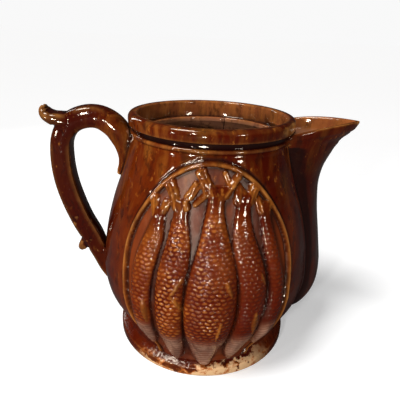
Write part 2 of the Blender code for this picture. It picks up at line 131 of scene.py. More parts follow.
# each fish as (height, left edge, right edge), heights as shares and edges as angles
fishes = (
    dict(rise=0.8, scaled=0.45, edges=(
        (0.125, -32.6, -30.0), (0.165, -35.9, -27.9), (0.22, -37.4, -27.0), (0.3, -38.2, -26.8),
        (0.4, -39.1, -27.6), (0.48, -39.3, -26.8), (0.55, -37.7, -25.1), (0.62, -34.8, -23.4),
        (0.68, -32.2, -24.0), (0.715, -31.6, -24.4))),
    dict(rise=0.88, scaled=1.0, edges=(
        (0.072, -18.4, -14.6), (0.1, -21.4, -12.6), (0.16, -23.7, -11.4), (0.22, -24.3, -11.0),
        (0.3, -24.8, -11.2), (0.4, -25.3, -11.2), (0.48, -25.0, -10.6), (0.55, -23.7, -9.0),
        (0.61, -22.0, -9.2), (0.66, -21.0, -10.4), (0.71, -20.3, -11.6), (0.75, -20.4, -12.0))),
    dict(rise=1.0, scaled=0.85, edges=(
        (0.052, -1.2, 3.6), (0.08, -4.7, 5.6), (0.13, -7.7, 7.9), (0.18, -9.2, 10.0),
        (0.24, -10.1, 11.5), (0.31, -10.8, 13.2), (0.4, -10.8, 14.2), (0.48, -9.8, 14.0),
        (0.55, -8.0, 12.9), (0.63, -5.4, 10.3), (0.69, -3.9, 8.1), (0.74, -2.6, 7.3),
        (0.775, -2.2, 8.2), (0.803, -2.0, 10.4))),
    dict(rise=0.88, scaled=0.5, edges=(
        (0.082, 14.4, 17.6), (0.112, 12.4, 20.4), (0.17, 11.6, 23.6), (0.24, 12.2, 25.2),
        (0.31, 13.6, 26.6), (0.38, 14.6, 28.6), (0.45, 14.6, 29.3), (0.52, 13.4, 28.2),
        (0.59, 11.5, 25.6), (0.65, 11.2, 22.9), (0.7, 12.0, 22.1), (0.745, 13.5, 22.6),
        (0.778, 13.4, 24.2))),
    dict(rise=0.8, scaled=0.35, edges=(
        (0.145, 29.4, 31.8), (0.178, 27.9, 34.2), (0.23, 27.1, 36.8), (0.3, 27.3, 38.4),
        (0.38, 29.7, 39.6), (0.45, 30.4, 39.6), (0.52, 29.4, 38.4), (0.59, 27.7, 36.7),
        (0.65, 26.9, 35.2), (0.7, 26.8, 34.4), (0.738, 26.6, 34.8))),
)
fishForm = dict(
    rise=0.007, neckEnd=0.0028, sides=2.4, flatness=0.7,
    rises=((0.0, 0.45), (0.06, 0.78), (0.2, 0.96), (0.42, 1.0), (0.65, 0.86), (0.85, 0.6),
           (1.0, 0.46)))
scales = dict(across=0.0048, along=0.0034, rise=0.0006, begin=0.255, end=1.0, fade=0.25,
              waver=0.13, waverPitch=700, bend=0.35, cell=(0.54, 0.5))
gills = dict(pitch=0.0036, rise=0.00022, noseUp=0.003, fullness=0.0004)
tailForm = dict(width=0.58, sides=2.2, flatness=0.6, lift=0.85, ray=0.00034)
blend = dict(fish=0.0016, tail=0.003)    # how softly the forms run into each other

# tail lobes as (angle, height) at the root and the tip, width at both, rise, and rays
lobes = (
    ((0.6, 0.785), (-3.0, 0.822), 0.006, 0.0068, 0.0032, 2),
    ((-3.0, 0.822), (-6.4, 0.852), 0.0066, 0.0082, 0.003, 3),
    ((-5.6, 0.826), (-3.8, 0.784), 0.0046, 0.0018, 0.0032, 0),
    ((-4.5, 0.842), (-4.0, 0.866), 0.0024, 0.0012, 0.0024, 0),
    ((7.6, 0.784), (11.6, 0.816), 0.0062, 0.005, 0.0036, 2),
    ((11.6, 0.816), (15.0, 0.842), 0.0046, 0.0056, 0.0036, 0),
    ((7.4, 0.856), (9.8, 0.824), 0.0036, 0.004, 0.0014, 0),
    ((-19.4, 0.735), (-21.6, 0.778), 0.0056, 0.0074, 0.003, 2),
    ((-21.6, 0.778), (-24.6, 0.806), 0.0072, 0.0086, 0.0026, 3),
    ((-14.6, 0.77), (-9.5, 0.821), 0.0024, 0.0024, 0.0024, 0),
    ((-12.9, 0.761), (-8.3, 0.817), 0.0026, 0.0024, 0.0028, 0),
    ((-11.1, 0.766), (-7.0, 0.807), 0.0026, 0.0022, 0.0024, 0),
    ((-8.6, 0.75), (-2.8, 0.785), 0.004, 0.0044, 0.0034, 0),
    ((-13.9, 0.757), (-12.8, 0.737), 0.004, 0.005, 0.0046, 0),
    ((-30.4, 0.7), (-32.8, 0.748), 0.0056, 0.0072, 0.0026, 3),
    ((-26.6, 0.708), (-25.8, 0.744), 0.0038, 0.004, 0.0026, 0),
    ((-25.0, 0.712), (-23.2, 0.748), 0.0034, 0.0036, 0.0024, 0),
    ((15.0, 0.762), (16.0, 0.803), 0.007, 0.0058, 0.0028, 2),
    ((16.6, 0.765), (18.0, 0.792), 0.006, 0.0046, 0.0026, 0),
    ((21.6, 0.76), (25.2, 0.802), 0.007, 0.0084, 0.0029, 3),
    ((28.2, 0.722), (27.4, 0.756), 0.0056, 0.0056, 0.0024, 2),
    ((32.6, 0.722), (35.2, 0.747), 0.0064, 0.006, 0.0022, 2),
)
# fins and streaks on the flanks, as start, end, width and rise
fins = (
    ((-11.8, 0.498), (-16.4, 0.436), 0.0034, 0.0011),
    ((-16.4, 0.436), (-9.6, 0.352), 0.0022, 0.0009),
    ((-14.6, 0.425), (-10.6, 0.368), 0.002, 0.0007),
    ((-29.9, 0.378), (-28.4, 0.286), 0.005, 0.0011),
    ((8.0, 0.502), (10.8, 0.44), 0.004, 0.0011),
    ((6.2, 0.345), (4.4, 0.25), 0.0026, 0.0009),
    ((24.6, 0.515), (26.8, 0.47), 0.0036, 0.0009),
    ((21.9, 0.366), (22.1, 0.27), 0.0058, 0.0009),
)


def pastFrame(angle, height, arcLength):
    # distance outwards from the frame's line, less than zero inside it
    rise = height / span - panel["middle"]
    reach = panel["up"] if rise > 0 else panel["down"]
    across, along = angle / panel["halfAngle"], rise / reach
    ratio = max(hypot(across, along), 0.05)
    slope = hypot(across / (panel["halfAngle"] * arcLength), along / (reach * span)) / ratio
    return (ratio - 1) / max(slope, 1.0)


def softMax(a, b, width):
    share = max(width - abs(a - b), 0.0) / width
    return max(a, b) + share * share * width / 4


class Level:
    # what the relief needs at one height, worked out once for a row of points
    def __init__(self, height):
        self.height = height
        self.radius = bodyRadius(height)
        self.arc = radians(1.0) * self.radius
        self.fish = []    # each with its middle and half its width as angles, share and rise
        share = height / span
        for fish in fishes:
            edges = fish["edges"]
            left, right = (smoothThrough([(edge[0], edge[side]) for edge in edges], share)
                           for side in (1, 2))
            along = (share - edges[0][0]) / (edges[-1][0] - edges[0][0])
            pastNeck = height - edges[-1][0] * span
            if along > 0 and pastNeck < fishForm["neckEnd"]:
                top = fishForm["rise"] * fish["rise"] * smoothThrough(fishForm["rises"], along)
                top *= ridge(max(pastNeck, 0.0) / fishForm["neckEnd"])
                self.fish.append((fish, (left + right) / 2, (right - left) / 2, along, top))
        self.lobes = [lobe for lobe in lobes if min(lobe[0][1], lobe[1][1]) - 0.03 < share
                      < max(lobe[0][1], lobe[1][1]) + 0.03]
        self.fins = [fin for fin in fins if fin[1][1] - 0.02 < share < fin[0][1] + 0.02]

    def near(self, angle, start, end):
        # distance from a line's stretch, share along it, and signed distance across it
        spots = ((angle, self.height / span), start, end)
        point, start, end = (Vector((turn * self.arc, share * span)) for turn, share in spots)
        run = end - start
        along = min(max((point - start).dot(run) / run.dot(run), 0.0), 1.0)
        gap = point - (start + run * along)
        side = 1.0 if run.x * gap.y - run.y * gap.x > 0 else -1.0
        return gap.length, along, side * gap.length


def relief(level, angle):
    # how far the carving stands out, and the masks and scale grid that the glaze reads
    height, arcLength = level.height, level.arc
    masks = dict(scale=0.0, head=0.0, ground=0.0, tail=0.0, u=0.0, v=0.0, shade=0.0)
    fromFrame = pastFrame(angle, height, arcLength)
    halfBead = panel["bead"] / 2
    rise = panel["rise"] * ridge(abs(fromFrame) / halfBead)
    fromGroove = abs(abs(fromFrame) - halfBead - panel["grooveOut"])
    rise -= panel["edgeGroove"] * ridge(fromGroove / panel["grooveHalf"])
    masks["tail"] = 0.6 * (1 - step(0.6, 1.05, abs(fromFrame) / halfBead))
    # the shade mask is painted shade: in the grooves beside the bead, on the ground next to each
    # fish and along the fish's edges
    masks["shade"] = ridge(fromGroove / panel["grooveShade"])
    if fromFrame > 0:
        return rise, masks
    rise -= panel["groundSunk"] * min(-fromFrame / panel["bead"], 1.0)
    if fromFrame < -halfBead:
        masks["ground"] = 1.0
    inside = step(0.0, panel["fadeIn"], -fromFrame - halfBead * 0.4)
    for fish, middle, half, along, top in level.fish:
        across = (angle - middle) / half if half > 0.2 else 9.0
        if abs(across) >= 1:
            gap = (abs(angle - middle) - half) * arcLength
            # painted shade on the ground close to this fish
            if masks["ground"] and gap < panel["fishShade"]:
                masks["shade"] = max(masks["shade"], 1 - gap / panel["fishShade"])
            continue
        dome = top * (1 - abs(across) ** fishForm["sides"]) ** fishForm["flatness"]
        if dome <= rise:
            continue
        # painted shade along the fish's own edges
        masks["shade"] = step(0.88, 1.0, abs(across))
        offset = (angle - middle) * arcLength
        crown = 1 - abs(across) ** 3
        fromNose = height - fish["edges"][0][0] * span
        waver = sin(offset * scales["waverPitch"] + middle)
        v = fromNose / scales["along"] + scales["waver"] * waver
        v += scales["bend"] * abs(across) ** 2
        row = floor(v)
        flatU = offset / scales["across"] + scales["waver"] * sin(v * 1.9 + middle)
        u = flatU + 0.5 * (row % 2)
        begin = scales["begin"]
        scaled = step(begin - 0.05, begin + 0.05, along)
        scaled *= 1 - step(scales["end"] - scales["fade"], scales["end"], along)
        cell = hypot((u - floor(u) - 0.5) / scales["cell"][0],
                          (v - row - 0.5) / scales["cell"][1])
        bump = scales["rise"] * max(1 - cell * cell, 0.0) * scaled * crown
        bump *= 0.45 + 0.55 * fish["scaled"]
        nose = hypot(offset, fromNose - gills["noseUp"])
        headed = (1 - step(begin - 0.08, begin + 0.03, along)) * crown
        bump += gills["rise"] * headed * sin(2 * pi * nose / gills["pitch"])
        bump += gills["fullness"] * (1 - step(begin - 0.03, begin, along)) * crown
        rise = softMax(rise, (dome + bump) * inside, blend["fish"])
        if along < begin - 0.04:
            v = nose / gills["pitch"]
        masks.update(scale=scaled * crown ** 0.5 * fish["scaled"], head=headed, ground=0.0,
                     tail=0.0, u=flatU, v=v)
    for start, end, width, lift in level.fins:
        apart, along, _ = level.near(angle, start, end)
        swell = 0.35 + 0.65 * sin(pi * min(along + 0.08, 1.0))
        lifted = lift * ridge(apart / (width / 2 * swell))
        rise += lifted
        if lifted > 0.3 * lift:
            masks.update(tail=max(masks["tail"], 1.3 * lifted / lift), scale=0.0)
    for start, end, rootWidth, tipWidth, lift, rays in level.lobes:
        apart, along, side = level.near(angle, start, end)
        half = tailForm["width"] * (rootWidth + (tipWidth - rootWidth) * along)
        if apart >= half:
            continue
        flat = (1 - (apart / half) ** tailForm["sides"]) ** tailForm["flatness"]
        rayed = cos(pi * rays * side / half) if rays else 0.6
        lifted = tailForm["lift"] * lift + (tailForm["ray"] * rayed if rays else 0.0)
        lifted *= flat * inside
        if lifted > rise:
            masks.update(tail=flat * (0.65 + 0.35 * rayed), scale=0.0, head=0.0, ground=0.0,
                         shade=0.0)
        rise = softMax(rise, lifted, blend["tail"])
    # the carving's lower edge swells out over the cove
    fill = (1 - step(*panel["fillShares"], height / span)) * step(0.0, panel["fillIn"], -fromFrame)
    return rise + panel["footFill"] * fill, masks


# The vessel in one spin: floor, inside wall, seat, ring, mouldings, carved body and foot

grid = dict(front=160, side=24, back=96, panelHalf=47.0, panelStep=0.00095)


def vesselProfile():
    # (radius, height) from the middle of the floor up the inside, over the ring and down
    top, wall, floor = body["height"], body["wall"], body["floor"]
    seat = top - ring["seatDepth"]
    underSeat = seat - ring["seatThick"]
    low = body["cove"] - wall
    inside = [(0.0, floor), (0.02, floor), (0.04, floor), (0.054, floor)]
    inside += arc((low - 0.012, floor + 0.012), 0.012, -90, 0, 6)
    shoulder = underSeat - (body["neck"] - wall - ring["throat"])
    steps = 18
    for i in range(1, steps + 1):
        height = floor + 0.014 + (shoulder - floor - 0.014) * i / steps
        inside.append((bodyRadius(height) - wall, height))
    # the lid's seat and the mouth above it
    inside += arc((ring["throat"] + 0.0012, underSeat + 0.0012), 0.0012, 240, 180, 2)
    inside += arc((ring["throat"] + 0.0012, seat - 0.0012), 0.0012, 180, 90, 3)
    inside += [(ring["mouth"] - 0.0035, seat), (ring["mouth"] - 0.0012, seat)]
    inside += arc((ring["mouth"] - 0.001, seat + 0.001), 0.001, 270, 360, 2)
    inside += [(ring["mouth"] + 0.0002, (seat + top) / 2)]
    inside += arc((ring["mouth"] + 0.0024, top - 0.0024), 0.0023, 180, 92, 5)
    # the rolled ring, the groove under it and the bead
    foot = top - ring["height"]
    grooveFoot = foot - ring["grooveHeight"]
    beadMiddle = grooveFoot - ring["beadHeight"] / 2
    outer = ring["outer"]
    outside = arc((outer - 0.0042, top - 0.0042), 0.0042, 88, 6, 8)
    outside += [(outer + 0.0001, top - 0.0058), (outer - 0.0001, top - 0.0074)]
    outside += arc((outer - 0.0016, foot + 0.0012), 0.0014, 0, -80, 3)
    outside += arc((ring["groove"] + 0.0012, foot - 0.0012), 0.0012, 100, 180, 3)
    outside += arc((ring["groove"] + 0.001, grooveFoot + 0.0008), 0.001, 180, 250, 2)
    outside += arc((ring["bead"] - 0.0019, beadMiddle), 0.0019, 75, -75, 6)
    outside += [(body["neck"] + 0.0001, beadMiddle - 0.0026)]
    return inside + outside


def panelHeights():
    # level rows from the neck to the cove, close together where the carving is
    low, high = panel["low"], body["neckAt"] * span
    count = round((high - low) / grid["panelStep"])
    return [high + (low - high) * i / count for i in range(count + 1)]


def footProfile():
    foot, cove = body["foot"], body["cove"]
    points = [(cove + 0.0012, 0.0122), (cove + 0.0036, 0.0108)]
    points += arc((foot - 0.0024, 0.0072), 0.0024, 80, 0, 4)
    points += [(foot, 0.004)]
    points += arc((foot - 0.0014, 0.0014), 0.0014, 0, -90, 3)
    points += [(foot - 0.0065, 0.0)]
    points += arc((foot - 0.0095, 0.0000), 0.0012, 0, 90, 2)
    points += [(0.04, 0.0014), (0.0, 0.0014)]
    return points


def columnAngles():
    # angles of the columns round the body from the handle side of the front panel
    half = grid["panelHalf"]
    stretches = ((-half, half, grid["front"]), (half, 180 - half, grid["side"]),
                 (180 - half, 180 + half, grid["back"]), (180 + half, 360 - half, grid["side"]))
    angles = []
    for start, end, count in stretches:
        angles += [start + (end - start) * i / count for i in range(count)]
    return angles


def makeVessel():
    collar, rows, foot = vesselProfile(), panelHeights(), footProfile()
    profile = collar + [(bodyRadius(height), height) for height in rows] + foot
    angles = columnAngles()
    columns = len(angles)
    shape = bmesh.new()
    rowLayer = shape.verts.layers.float.new("row")
    previous = None
    for i, (radius, height) in enumerate(profile):
        point = shape.verts.new((radius, 0.0, height))
        point[rowLayer] = i
        if previous:
            shape.edges.new((previous, point))
        previous = point
    bmesh.ops.spin(shape, geom=shape.verts[:] + shape.edges[:], axis=(0, 0, 1),
                   angle=2 * pi, steps=columns, use_merge=True)
    bmesh.ops.remove_doubles(shape, verts=shape.verts, dist=0.00001)
    levels = {}
    for point in shape.verts:
        radius = hypot(point.co.x, point.co.y)
        if radius < 0.0001:
            continue
        column = round(atan2(point.co.y, point.co.x) / (2 * pi) * columns) % columns
        angle = angles[column]
        row = round(point[rowLayer])
        if len(collar) <= row < len(collar) + len(rows):
            if row not in levels:
                levels[row] = Level(rows[row - len(collar)])
            onPanel = angle if angle < 90 else 180 - angle
            if abs(onPanel) < 90:
                radius += relief(levels[row], onPanel)[0]
        turn = radians(angle)
        point.co = Vector((radius * sin(turn), -radius * cos(turn), point.co.z))
    bmesh.ops.recalc_face_normals(shape, faces=shape.faces)
    mesh = meshFrom("vessel", shape)
    print("vessel:", columns, "columns,", len(profile), "rows,", len(mesh.polygons), "faces")
    return newObject("vessel", mesh)


# Spout and handle are lofted: circles set to their sections, and bridged

def loft(name, sections):
    # a closed form through rings of as many points each
    shape = bmesh.new()
    rings = []
    for section in sections:
        circle = bmesh.ops.create_circle(shape, segments=len(section), radius=1.0)["verts"]
        for point, place in zip(circle, section):
            point.co = place
        rings.append({edge for point in circle for edge in point.link_edges})
    for lower, upper in zip(rings, rings[1:]):
        bmesh.ops.bridge_loops(shape, edges=list(lower | upper))
    for edges in (rings[0], rings[-1]):
        bmesh.ops.holes_fill(shape, edges=list(edges), sides=0)
    bmesh.ops.triangulate(shape, faces=shape.faces)
    bmesh.ops.recalc_face_normals(shape, faces=shape.faces)
    return newObject(name, meshFrom(name, shape))


def mirrored(points):
    return [Vector((p.x, -p.y, p.z)) for p in points]


spout = dict(
    reach=0.1299, width=0.065, wall=0.0045, lipBand=0.0052, lipAtBody=0.945, lipRise=0.044,
    bandStep=0.0011, roll=0.0019, channelRoll=0.0018, corners=20, channelFloor=0.175,
    foot=0.105, flare=0.895, steps=44, lipSteps=(0.83, 0.87, 0.91, 0.945, 0.975, 0.993, 1.0),
    keel=((0.105, 0.3), (0.137, 0.48), (0.185, 0.56), (0.25, 0.61), (0.34, 0.57), (0.48, 0.46),
          (0.6, 0.41), (0.71, 0.44), (0.79, 0.53), (0.85, 0.645), (0.9, 0.763), (0.913, 0.887),
          (0.945, 1.0)),
    side=((0.105, 0.15), (0.125, 0.5), (0.16, 0.82), (0.22, 1.0), (0.9, 1.0), (1.0, 1.05)))
strainer = dict(bore=0.0066, pitch=0.0125, rows=5, at=0.46)
rib = dict(radius=0.0014, low=0.125, high=0.9223, sections=70, corners=10)


def spoutSection(height, lift, inset):
    share = height / span
    half = spout["width"] / 2 * smoothThrough(spout["side"], share) - inset
    radius = bodyRadius(height)
    buried = radius - body["wall"] / 2
    root = sqrt(buried * buried - half * half)
    keel = radius + (spout["reach"] - radius) * smoothThrough(spout["keel"], share) - 1.3 * inset
    points = []
    for i in range(spout["corners"] + 1):
        along = sin(pi / 2 * i / spout["corners"])
        across = (1 - along ** 2.1) ** 0.9
        rise = lift * (1 - (1 - along) ** 2.2)
        points.append(Vector((root + (keel - root) * along, half * across, height + rise)))
    return points


def spoutLevels():
    # the heights of the spout's sections with the rise of their tips, and the lip band's foot
    lip, lift = spout["lipAtBody"] * span, spout["lipRise"] * span
    foot, flare, steps = spout["foot"], spout["flare"], spout["steps"]
    levels = [((foot + (flare - foot) * i / steps) * span, 0.0) for i in range(steps + 1)]
    for share in [i / 14 for i in range(1, 12)] + list(spout["lipSteps"]):
        height = flare * span + (lip - flare * span) * share
        levels.append((height, lift * smoothThrough(((0.0, 0.0), (0.35, 0.55), (1.0, 1.0)), share)))
    return levels, lip - spout["lipBand"]


def rolled(depth, radius):
    # how far an edge rounded to a radius draws back at a depth below its top
    rest = max(radius - depth, 0.0)
    return radius - sqrt(radius * radius - rest * rest)


def makeSpout():
    levels, band = spoutLevels()
    top = levels[-1][0]
    sections = []
    for height, lift in levels:
        sunk = spout["bandStep"] * (1 - step(-0.0009, 0.0003, height - band))
        side = spoutSection(height, lift, sunk + rolled(top - height, spout["roll"]))
        behind = Vector((bodyRadius(height) - 0.85 * body["wall"], 0.0, height))
        near = Vector((side[0].x - body["wall"] / 2, side[0].y * 0.96, height))
        sections.append(side[::-1] + [near, behind] + mirrored([near]) + mirrored(side[:-1]))
    return loft("spoutForm", sections)


def makeChannel():
    levels = [level for level in spoutLevels()[0] if level[0] > spout["channelFloor"] * span]
    lip, lift = levels[-1]
    sections = []
    for height, rise in levels + [(lip + 0.02, lift)]:
        level = min(height, lip)
        side = spoutSection(level, rise, spout["wall"] - rolled(lip - level, spout["channelRoll"]))
        atRing = ring["outer"] if level > body["neckAt"] * span else 0.0
        radius = max(bodyRadius(level), atRing) + 0.0003
        back = [Vector((sqrt(radius * radius - y * y), y, level))
                for y in (side[0].y * share for share in (1.0, 0.75, 0.5, 0.25, 0.0))]
        loop = side[:0:-1] + back + mirrored(back[3::-1]) + mirrored(side[1:-1])
        sections.append([point + Vector((0.0, 0.0, height - level)) for point in loop])
    return loft("channelForm", sections)


def makeRib(hand):
    # the raised seam where the spout's flank meets the body
    path = []
    last = rib["sections"] - 1
    for i in range(last + 1):
        share = rib["low"] + (rib["high"] - rib["low"]) * i / last
        radius = bodyRadius(share * span)
        half = spout["width"] / 2 * smoothThrough(spout["side"], share)
        x = sqrt(radius * radius - half * half) + 0.0002
        path.append(Vector((x, hand * half, share * span)))
    turns = [2 * pi * corner / rib["corners"] for corner in range(rib["corners"])]
    sections = []
    for i, here in enumerate(path):
        forward = (path[min(i + 1, last)] - path[max(i - 1, 0)]).normalized()
        side = forward.cross(Vector((here.x, here.y, 0.0)).normalized()).normalized()
        out = side.cross(forward)
        taper = rib["radius"] * (0.25 + 0.75 * step(0, 8, min(i, last - i)))
        sections.append([here + out * cos(turn) * taper + side * sin(turn) * taper
                         for turn in turns])
    return loft("rib", sections)


def makeDrills():
    drills = []
    for row in range(strainer["rows"]):
        height = strainer["at"] * span + row * strainer["pitch"]
        holes = 3 - row % 2
        for hole in range(holes):
            y = (hole - (holes - 1) / 2) * strainer["pitch"]
            middle = sqrt(bodyRadius(height) ** 2 - y * y) - body["wall"] / 2
            shape = bmesh.new()
            turn = Matrix.Translation((middle, y, height)) @ Matrix.Rotation(pi / 2, 4, "Y")
            bmesh.ops.create_cone(shape, cap_ends=True, segments=20, radius1=strainer["bore"] / 2,
                                  radius2=strainer["bore"] / 2, depth=3 * body["wall"], matrix=turn)
            drills.append(newObject("drill", meshFrom("drill", shape)))
    return drills


handle = dict(
    reach=0.1421, depth=0.0202, width=0.0205, corners=36,
    # each bar's name, sections, hollow and course as (height, reach, depth, width)
    bars=(
        ("handleBar", 96, 0.0008, (
            (0.727, 0.062, 0.14, 0.2), (0.737, 0.04, 0.3, 0.34), (0.775, 0.032, 0.38, 0.52),
            (0.82, 0.048, 0.6, 0.76), (0.88, 0.12, 1.00, 0.92), (0.93, 0.245, 1.04, 1.00),
            (0.962, 0.43, 1.00, 1.00), (0.962, 0.64, 1.00, 1.00), (0.932, 0.845, 1.00, 1.00),
            (0.87, 0.97, 0.95, 1.00), (0.78, 0.995, 0.98, 1.00), (0.69, 0.955, 1.00, 0.98),
            (0.6, 0.835, 1.00, 0.96), (0.51, 0.635, 0.98, 0.94), (0.43, 0.38, 0.97, 0.92),
            (0.35, 0.165, 0.82, 0.86), (0.27, 0.08, 0.56, 0.72), (0.2, 0.035, 0.34, 0.5),
            (0.15, 0.005, 0.16, 0.26))),
        ("thumbRest", 40, 0.003, (
            (0.93, 0.7, 0.8, 0.8), (0.94, 0.85, 0.86, 1.02), (0.949, 0.985, 0.66, 1.12),
            (0.957, 1.09, 0.5, 1.1), (0.97, 1.16, 0.42, 0.98), (0.988, 1.19, 0.32, 0.74),
            (1.003, 1.19, 0.16, 0.36))),
        ("spur", 24, 0.0, (
            (0.44, 0.44, 0.6, 0.6), (0.4, 0.56, 0.55, 0.62), (0.374, 0.665, 0.42, 0.52),
            (0.358, 0.71, 0.2, 0.28)))))


def swept(name, sections, dish, line):
    # a bar of rounded oblong sections, its outer face hollowed between two rims
    bar = []
    farthest = handle["reach"] - handle["depth"] / 2
    for share, reach, depth, width in line:
        radius = bodyRadius(share * span)
        bar.append((-(radius + (farthest - radius) * reach), share * span,
                    depth * handle["depth"] / 2, width * handle["width"] / 2))

    def read(item, at):
        return smoothThrough([(i, values[item]) for i, values in enumerate(bar)], at)

    rings = []
    for i in range(sections):
        at = (len(bar) - 1) * i / (sections - 1)
        here = Vector((read(0, at), 0.0, read(1, at)))
        forward = Vector((read(0, at + 0.02) - read(0, at - 0.02), 0.0,
                          read(1, at + 0.02) - read(1, at - 0.02))).normalized()
        out = Vector((-forward.z, 0.0, forward.x))
        halfDepth, halfWidth = read(2, at), read(3, at)
        loop = []
        for corner in range(handle["corners"]):
            turn = 2 * pi * (corner + 0.5) / handle["corners"]
            square = max(abs(cos(turn)), abs(sin(turn))) ** -0.45
            across = square * sin(turn)
            face = step(0.1, 0.7, cos(turn))
            sunk = dish * face * exp(-(across / 0.55) ** 4)
            loop.append(here + out * (square * cos(turn) * halfDepth - sunk)
                        + Vector((0.0, across * halfWidth, 0.0)))
        rings.append(loop)
    return loft(name, rings)


# Joining: the forms become one closed skin

def boolean(piece, tool, operation):
    modifier = piece.modifiers.new(operation.lower(), "BOOLEAN")
    modifier.operation = operation
    modifier.object = tool
    modifier.solver = "MANIFOLD"


def joinForms():
    vessel = makeVessel()
    additions = [makeSpout()] + [swept(*bar) for bar in handle["bars"]] + [makeRib(-1), makeRib(1)]
    cutters = [makeChannel()] + makeDrills()
    for tool in additions:
        boolean(vessel, tool, "UNION")
    for tool in cutters:
        boolean(vessel, tool, "DIFFERENCE")
    graph = bpy.context.evaluated_depsgraph_get()
    mesh = bpy.data.meshes.new_from_object(vessel.evaluated_get(graph))
    for tool in [vessel] + additions + cutters:
        bpy.data.objects.remove(tool)
    mesh.name = "pitcherSkin"
    print("joined:", len(mesh.vertices), "points,", len(mesh.polygons), "faces")
    return mesh


joints = dict(reach=0.003, sharp=25.0, rounds=8, top=0.93, depth=0.001, beyond=0.06,
              spoutFrom=0.05, spoutHalf=0.045, handleFrom=-0.06, handleHalf=0.02, repairs=4)


def softenJoints(mesh):
    # glaze fills the inner corners where spout and handle meet the body
    shape = bmesh.new()
    shape.from_mesh(mesh)
    corners = []
    for edge in shape.edges:
        middle = (edge.verts[0].co + edge.verts[1].co) / 2
        onSkin = hypot(middle.x, middle.y) > bodyRadius(middle.z) - joints["depth"]
        atSpout = middle.x > joints["spoutFrom"] and abs(middle.y) < joints["spoutHalf"]
        atHandle = middle.x < joints["handleFrom"] and abs(middle.y) < joints["handleHalf"]
        if middle.z <= joints["top"] * span and onSkin and (atSpout or atHandle):
            if edge.calc_face_angle_signed(0.0) < -radians(joints["sharp"]):
                corners.append(middle)
    tree = kdtree.KDTree(len(corners))
    for i, corner in enumerate(corners):
        tree.insert(corner, i)
    tree.balance()
    near = []
    for point in shape.verts:
        if hypot(point.co.x, point.co.y) > joints["beyond"]:
            if tree.find(point.co)[2] < joints["reach"]:
                near.append(point)
    for _ in range(joints["rounds"]):
        bmesh.ops.smooth_vert(shape, verts=near, factor=0.5, use_axis_x=True, use_axis_y=True,
                              use_axis_z=True)
    bmesh.ops.triangulate(shape, faces=shape.faces)
    for _ in range(joints["repairs"]):
        # slivers where the joined forms touch are drawn together, so that the skin stays closed
        crossed = [edge for edge in shape.edges if len(edge.link_faces) != 2]
        print("crossed edges:", len(crossed))
        if not crossed:
            break
        bmesh.ops.collapse(shape, edges=crossed)
    shape.to_mesh(mesh)
    print("softened", len(near), "points, triangles", len(shape.faces), "repaired", mesh.validate())
    shape.free()


# What the glaze reads from the form: crests, hollows and the parts of the fish

def meshArrays(mesh):
    arrays = []
    for source, field, width, kind in ((mesh.vertices, "co", 3, float),
                                       (mesh.vertices, "normal", 3, float),
                                       (mesh.edges, "vertices", 2, int)):
        values = numpy.empty(len(source) * width, dtype=kind)
        source.foreach_get(field, values)
        arrays.append(values.reshape(-1, width))
    return arrays


def curvature(points, normals, edges, rounds, strong):
    # how the skin bends: 1 on crests as sharp as strong, in 1/m, 0.5 when flat, 0 in hollows
    count = len(points)
    ends = numpy.concatenate((edges[:, 0], edges[:, 1]))
    others = numpy.concatenate((edges[:, 1], edges[:, 0]))
    valence = numpy.maximum(numpy.bincount(ends, minlength=count), 1)
    run = points[others] - points[ends]
    turn = normals[others] - normals[ends]
    bend = (turn * run).sum(axis=1) / numpy.maximum((run * run).sum(axis=1), 1e-8)
    field = numpy.bincount(ends, weights=bend, minlength=count) / valence
    for _ in range(rounds):
        total = numpy.bincount(ends, weights=field[others], minlength=count)
        field = 0.5 * field + 0.5 * total / valence
    return numpy.clip(0.5 + 0.5 * field / strong, 0, 1)


maps = dict(spoutFrom=0.0725, spoutAbove=0.17, spoutMiddle=0.085, handleFrom=-0.072,
            bends=((2, 600), (30, 300)), levelStep=0.00005, depth=0.002)


def facingIn(points, normals):
    # 1 on the inside walls of vessel and spout, 0 on the outside and the handle
    x, y, z = points.T
    across = x - maps["spoutMiddle"] * ((x > maps["spoutFrom"]) & (z > maps["spoutAbove"]))
    reach = numpy.maximum(numpy.hypot(across, y), 0.000001)
    outward = (across * normals[:, 0] + y * normals[:, 1]) / reach
    return numpy.clip(0.5 - 1.5 * outward, 0, 1) * (x > maps["handleFrom"])


def storeMaps(mesh):
    points, normals, edges = meshArrays(mesh)
    cavity, parts, scaleUv = (numpy.zeros((len(points), width)) for width in (4, 4, 3))
    for channel, (rounds, strong) in enumerate(maps["bends"]):
        cavity[:, channel] = curvature(points, normals, edges, rounds, strong)
    cavity[:, 2] = facingIn(points, normals)
    low, high = panel["low"], body["neckAt"] * span
    levels = {}
    for i, (x, y, z) in enumerate(points):
        if not low < z < high:
            continue
        radius = hypot(x, y)
        angle = degrees(atan2(x, abs(y)))
        if abs(angle) > panel["halfAngle"] + 1:
            continue
        key = round(z / maps["levelStep"])
        if key not in levels:
            levels[key] = Level(z)
        if radius < levels[key].radius - maps["depth"]:
            continue
        masks = relief(levels[key], angle)[1]
        parts[i] = (masks["scale"], masks["head"], masks["ground"], masks["tail"])
        scaleUv[i] = (masks["u"], masks["v"], masks["shade"])
    for name, kind, field, values in (("cavityMap", "FLOAT_COLOR", "color", cavity),
                                      ("partMap", "FLOAT_COLOR", "color", parts),
                                      ("scaleUv", "FLOAT_VECTOR", "vector", scaleUv)):
        mesh.attributes.new(name, kind, "POINT").data.foreach_set(field, values.ravel())
    print("maps stored for", len(points), "points")


# Materials

def newMaterial(name):
    material = bpy.data.materials.new(name)
    material.use_nodes = True
    tree = material.node_tree
    return material, tree, tree.nodes["Principled BSDF"]


